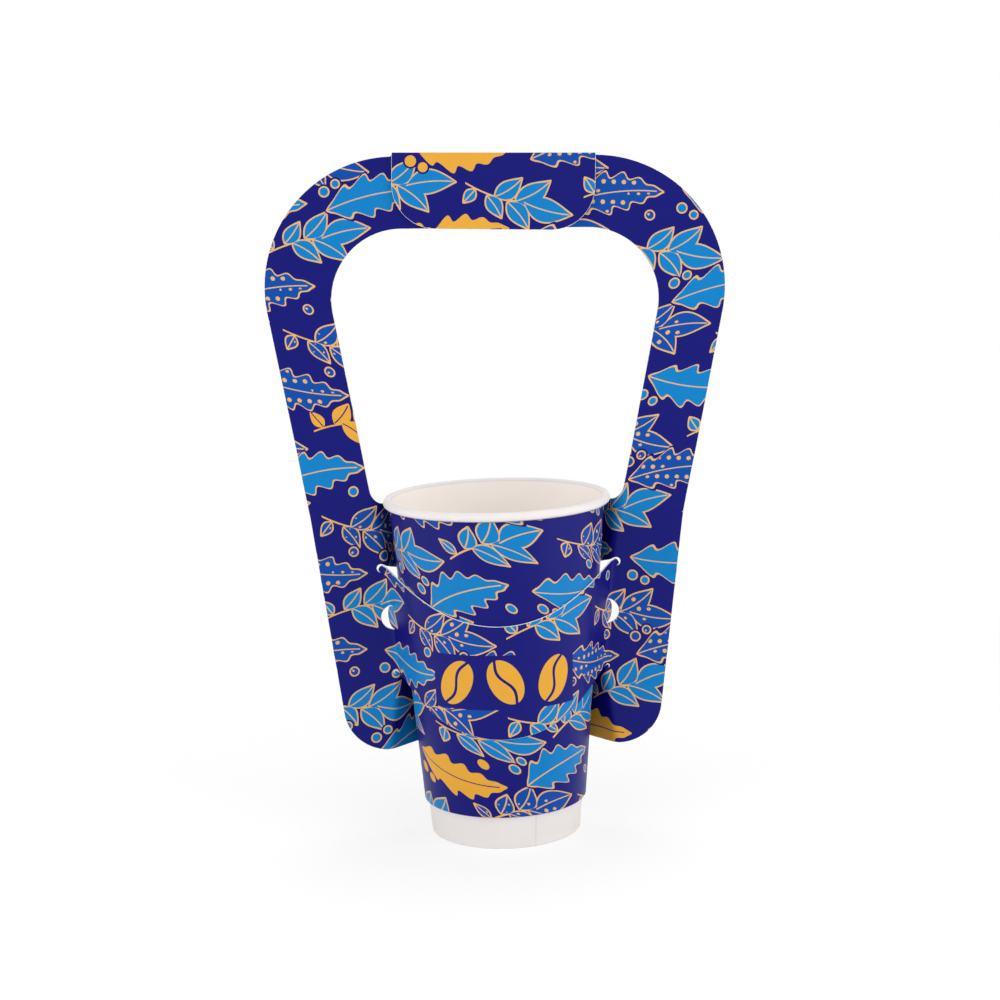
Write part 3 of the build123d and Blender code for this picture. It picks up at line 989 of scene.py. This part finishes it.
def cell_group():
    """Cell of a lattice that a point is in: the point from its middle, and the cell's own number.

    Each cell's motif is tilted by chance, and every other one is upside down.
    """
    tree, (point, shift, seed) = new_group("cell", "Point", "Shift", "Seed")
    size = (*CELL, 1)
    moved = vector_node("SUBTRACT", point, shift)
    cell = vector_node("FLOOR", vector_node("DIVIDE", moved, size))
    middle = vector_node("MULTIPLY", vector_node("ADD", cell, (0.5, 0.5, 0)), size)
    key = vector_node("ADD", cell, joined(tree, z=seed))
    chance = put(tree, "ShaderNodeTexWhiteNoise", {"Vector": key}, noise_dimensions="3D")
    first, _ = split(Signal(chance.outputs["Color"]))
    turned = made(tree, "ShaderNodeVectorRotate", {
        "Vector": vector_node("SUBTRACT", moved, middle), "Angle": (first - 0.5) * CELL_TILT,
    }, rotation_type="Z_AXIS")
    column, row = split(cell)
    odd = math_node("FLOORED_MODULO", column + row, 2) > 0.5
    point = vector_node("MULTIPLY", turned, joined(tree, 1, 1 - odd * 2, 1))
    return close_group(tree, {"Point": point, "Kind": Signal(chance.outputs["Value"])})


def to_dot(point):
    """Distance to the nearest dot of a staggered lattice."""
    x, y = split(point)
    x, y = x / DOT_PITCH, y / DOT_PITCH
    row = math_node("FLOOR", y)
    x = math_node("FRACT", x + math_node("FLOORED_MODULO", row, 2) * 0.5) - 0.5
    y = y - row - 0.5
    return math_node("SQRT", x * x + y * y) * DOT_PITCH


def inks_group():
    """One motif printed over a colour: azure, dotted blue or plain gold, as its kind says."""
    tree, (under, point, edge, rib, stem, kind, azure_share) = new_group(
        "inks", "Under", "Point", "Edge", "Rib", "Stem", "Kind", "Azure Share",
    )
    inside, solid_gold, dotted = edge < 0, kind > GOLD_START, kind > azure_share
    ink = blend(edge < HALO, under, NAVY)
    body = blend(solid_gold, blend(dotted, AZURE, MID_BLUE), GOLD)
    ink = blend(inside, ink, body)
    room = smaller(edge * -1, rib) - DOT_MARGIN
    in_dot = (to_dot(point) < smaller(room, DOT_RADIUS)) * dotted
    line = larger(abs(edge) < OUTLINE, (stem < STEM) * (edge > 0))
    line = larger(larger(line, (rib < RIB) * inside * (1 - solid_gold)), in_dot)
    ink = blend(line, ink, blend(solid_gold, LINE_GOLD, GOLD))
    return close_group(tree, {"Color": blend(solid_gold * inside * (rib < RIB), ink, NAVY)})


def print_group():
    """The whole leaf print: sprigs in one lattice and wavy leaves in another, set between them."""
    leaf, cell, inks = leaf_group(), cell_group(), inks_group()
    tree, (point, first_seed) = new_group("leaf print", "Point", "Seed")
    lattices = (
        (sprig_group(leaf), (0, 0, 0), AZURE_SHARE[0], 1),
        (wavy_leaf_group(leaf), (CELL[0] / 2, CELL[1] / 2, 0), AZURE_SHARE[1], 5),
    )
    ink = NAVY
    for motif, shift, share, seed in lattices:
        home = place_group(tree, cell, {"Point": point, "Shift": shift, "Seed": first_seed + seed})
        shape = place_group(tree, motif, {"Point": home["Point"]})
        ink = place_group(tree, inks, {"Under": ink, "Azure Share": share, **home, **shape})["Color"]
    return close_group(tree, {"Color": ink})


def bean_group():
    """1 within a coffee bean: an ellipse, less a groove along its middle that follows a sine."""
    tree, [point] = new_group("bean", "Point")
    x, y = split(point)
    reach = x * x / BEAN_HALF[0] ** 2 + y * y / BEAN_HALF[1] ** 2
    groove = abs(y - math_node("SINE", x * GROOVE_WAVE) * GROOVE_SWING) < GROOVE_HALF
    return close_group(tree, {"Mask": (reach < 1) * (1 - groove)})


def panel_group():
    """Plain panel in the middle of the front band, with three coffee beans."""
    bean = bean_group()
    tree, (under, point) = new_group("bean panel", "Under", "Point")
    x, y = split(point)
    over = (abs(x - PANEL_MIDDLE[0]) < PANEL_HALF[0]) * (abs(y - PANEL_MIDDLE[1]) < PANEL_HALF[1])
    ink = blend(over, under, NAVY)
    for *place, angle in BEANS:
        mask = place_group(tree, bean, {"Point": set_in(point, place, angle, 1)})["Mask"]
        ink = blend(mask, ink, GOLD)
    return close_group(tree, {"Color": ink})


# Paper and board

def board_group():
    """Paper fibre: a tone about 1 that mottles the colour, a roughness change and a height.

    The tone sums a cloudy and a fine noise; the height sums the fine noise and a slow one.
    """
    tree, (mottle, fibre, cockle) = new_group("board", "Mottle", "Fibre", "Cockle")
    place = coordinates(tree)
    cloudy, fine, slow = (
        made(tree, "ShaderNodeTexNoise", {"Vector": place, "Scale": 1 / size, "Detail": detail}) - 0.5
        for size, detail in GRAIN
    )
    return close_group(tree, {
        "Tone": cloudy * mottle + fine * fibre + 1,
        "Sheen": cloudy * CLOUDY_SHEEN + fine * FINE_SHEEN,
        "Height": fine * FINE_HEIGHT + slow * cockle,
    })


def paper_material(name, board, roughness, mottle, fibre, cockle):
    """Material with the board's grain; its tree, shader and the signals of the grain."""
    material = bpy.data.materials.new(name)
    material.use_nodes = True
    tree = material.node_tree
    shader = tree.nodes["Principled BSDF"]
    grain = place_group(tree, board, {"Mottle": mottle, "Fibre": fibre, "Cockle": cockle})
    feed(shader.inputs["Roughness"], grain["Sheen"] + roughness)
    bump = made(tree, "ShaderNodeBump", {"Height": grain["Height"], "Distance": MM, "Strength": 1})
    feed(shader.inputs["Normal"], bump)
    return material, shader, grain


def printed_material(name, board, leaves, shift, seed, panel=None, seam=None):
    """Board under satin inks: the shifted leaf print on the piece's map, with its panel or seam."""
    material, shader, grain = paper_material(
        name, board, INK_ROUGHNESS, mottle=0.05, fibre=0.05, cockle=0.5,
    )
    tree = material.node_tree
    flat = made(tree, "ShaderNodeUVMap", uv_map="print")
    point = vector_node("MULTIPLY_ADD", flat, (1 / MM, 1 / MM, 0), (*shift, 0))
    ink = place_group(tree, leaves, {"Point": point, "Seed": seed})["Color"]
    if panel:
        ink = place_group(tree, panel, {"Under": ink, "Point": point})["Color"]
    if seam:
        line = place_group(tree, seam, {"Angle": WRAP_SEAM_ANGLE, "Top": wrap_top})["Mask"]
        ink = blend(line, ink, SEAM_WHITE)
    feed(shader.inputs["Base Color"], scaled(ink, grain["Tone"]))
    shader.inputs["Specular IOR Level"].default_value = INK_GLOSS
    return material


def seam_group():
    """1 within a narrow angle about a line up the cone, below a height."""
    tree, (angle, top) = new_group("seam", "Angle", "Top")
    place = coordinates(tree)
    x, y = split(place)
    turn = abs(math_node("ARCTAN2", y, x) - angle)
    height = vector_node("DOT_PRODUCT", place, (0, 0, 1))
    return close_group(tree, {"Mask": (turn < SEAM_LINE) * (height < top)})


def board_material(name, board, tint, roughness, mottle, fibre, seam=None):
    """Bare board or uncoated cut edge, darker along a glued seam that shows below the wrap: painted
    shade of the seam's step.
    """
    material, shader, grain = paper_material(name, board, roughness, mottle, fibre, cockle=0.35)
    tone = grain["Tone"]
    if seam:
        # Painted shade: the board's tone is darkened along the seam's line in place of the shadow in
        # its step's gap
        line = place_group(material.node_tree, seam, {"Angle": SEAM_ANGLE, "Top": WRAP_FOOT})["Mask"]
        tone = tone * (1 - line * SEAM_PAINTED_SHADE)
    feed(shader.inputs["Base Color"], scaled(tint, tone))
    return material


# Camera, floor and light

FOCAL_LENGTH = 72
SENSOR = 36
CLIP_START = 0.01
CAMERA_PLACE = (1.35 * MM, -781.5 * MM, 262.8 * MM)
CAMERA_PITCH = 0.1637
CAMERA_ROLL = radians(1.744)
FLOOR_SIZE = 5.0
SHADE_WHITE = 0.38
SHADOW_NEAR = 0.1
SHADOW_FAR = 0.45
MIRROR_SLOPE = 1.4
MIRROR_LEVEL = 0.8
WHITE = (1, 1, 1)
LAMPS = (
    ("right softbox", (0.52, -0.30, 0.24), (0.35, 0.5), 1.35),
    ("left softbox", (-0.52, -0.34, 0.24), (0.35, 0.5), 1.2),
    ("front softbox", (0.15, -1.3, 0.75), (0.7, 0.7), 1.7),
    ("top softbox", (0.1, 0.25, 1.0), (0.5, 0.5), 1.4),
)


def make_camera():
    """Camera level along +Y, pitched down and then rolled about its own line of sight."""
    data = bpy.data.cameras.new("camera")
    data.lens = FOCAL_LENGTH
    data.sensor_width = SENSOR
    data.clip_start = CLIP_START
    camera = new_object("camera", data)
    aim = Matrix.Rotation(pi / 2 - CAMERA_PITCH, 4, "X") @ Matrix.Rotation(-CAMERA_ROLL, 4, "Z")
    camera.matrix_world = Matrix.Translation(CAMERA_PLACE) @ aim
    bpy.context.scene.camera = camera


def seen_directly(tree, *rays):
    """1 for rays of the named kinds, and otherwise 0."""
    path = put(tree, "ShaderNodeLightPath")
    share, *others = (Signal(path.outputs[f"Is {ray} Ray"]) for ray in rays)
    for other in others:
        share = larger(share, other)
    return share


def make_world(strength, front):
    """White as seen and as mirrored, but dimmer mirrored from the front, and gentler as light."""
    world = bpy.data.worlds.new("studio")
    bpy.context.scene.world = world
    world.use_nodes = True
    tree = world.node_tree
    light = tree.nodes["Background"]
    feed(light.inputs["Color"], WHITE)
    feed(light.inputs["Strength"], strength)
    _, ahead = split(coordinates(tree, "Generated"))
    mirrored = clamped(ahead * MIRROR_SLOPE + MIRROR_LEVEL) * (1 - front) + front
    level = larger(seen_directly(tree, "Camera"), mirrored)
    seen = made(tree, "ShaderNodeBackground", {"Color": WHITE, "Strength": level})
    mix = made(tree, "ShaderNodeMixShader", {
        0: seen_directly(tree, "Camera", "Glossy", "Transmission"),
        1: Signal(light.outputs[0]), 2: seen,
    })
    feed(tree.nodes["World Output"].inputs["Surface"], mix)


def make_floor(white, glow):
    """Pale floor with the soft shadow; to the camera it glows a little, and far out it is white."""
    half = FLOOR_SIZE / 2
    corners = [(-half, -half, 0), (half, -half, 0), (half, half, 0), (-half, half, 0)]
    mesh = bpy.data.meshes.new("floor")
    mesh.from_pydata(corners, [], [(0, 1, 2, 3)])
    material = bpy.data.materials.new("floor")
    material.use_nodes = True
    tree = material.node_tree
    tree.nodes.remove(tree.nodes["Principled BSDF"])
    away = vector_node("LENGTH", coordinates(tree))
    far = clamped((away - SHADOW_NEAR) / (SHADOW_FAR - SHADOW_NEAR))
    matt, shade = (
        made(tree, "ShaderNodeBsdfDiffuse", {"Color": (level, level, level)})
        for level in (white, SHADE_WHITE)
    )
    own, clear = (
        made(tree, "ShaderNodeEmission", {"Color": WHITE, "Strength": level}) for level in (glow, 1)
    )
    near = made(tree, "ShaderNodeAddShader", {0: shade, 1: own})
    seen = made(tree, "ShaderNodeMixShader", {0: far, 1: near, 2: clear})
    mix = made(tree, "ShaderNodeMixShader", {0: seen_directly(tree, "Camera"), 1: matt, 2: seen})
    feed(tree.nodes["Material Output"].inputs["Surface"], mix)
    mesh.materials.append(material)
    floor = new_object("floor", mesh)


def add_lamp(name, place, size, power):
    """Area lamp at a place, turned to the object's middle and hidden from the camera."""
    data = bpy.data.lights.new(name, "AREA")
    data.shape = "RECTANGLE"
    data.size, data.size_y = size
    data.energy = power
    lamp = new_object(name, data)
    lamp.location = place
    aim = Vector((0, 0, (cad_box[0][2] + cad_box[1][2]) / 2))
    lamp.rotation_euler = (aim - Vector(place)).to_track_quat("-Z", "Y").to_euler()
    lamp.visible_camera = False


make_camera()
make_world(strength=0.83, front=0.25)
make_floor(white=0.85, glow=0.6)
for lamp in LAMPS:
    add_lamp(*lamp)

board, leaves, seam = board_group(), print_group(), seam_group()
front_print = printed_material("front_print", board, leaves, shift=(0, 0), seed=0, panel=panel_group())
back_print = printed_material("back_print", board, leaves, shift=(13, 21), seed=20)
wrap_print = printed_material("wrap_print", board, leaves, shift=(-9, 5), seed=40, seam=seam)
cup_board = board_material(
    "cup_board", board, tint=(0.73, 0.695, 0.675), roughness=0.55, mottle=0.03, fibre=0.04, seam=seam,
)
cup_lining = board_material(
    "cup_lining", board, tint=(0.93, 0.87, 0.82), roughness=0.5, mottle=0.02, fibre=0.03,
)
cut_edge = board_material(
    "cut_edge", board, tint=(0.72, 0.72, 0.73), roughness=0.8, mottle=0.04, fibre=0.25,
)

make_cup_wall(cup_board, cup_lining)
make_cup_bottom(cup_lining)
make_cup_wrap(wrap_print, cup_board)
make_carrier(front_print, back_print, cut_edge)

bpy.context.scene.view_settings.view_transform = "Standard"
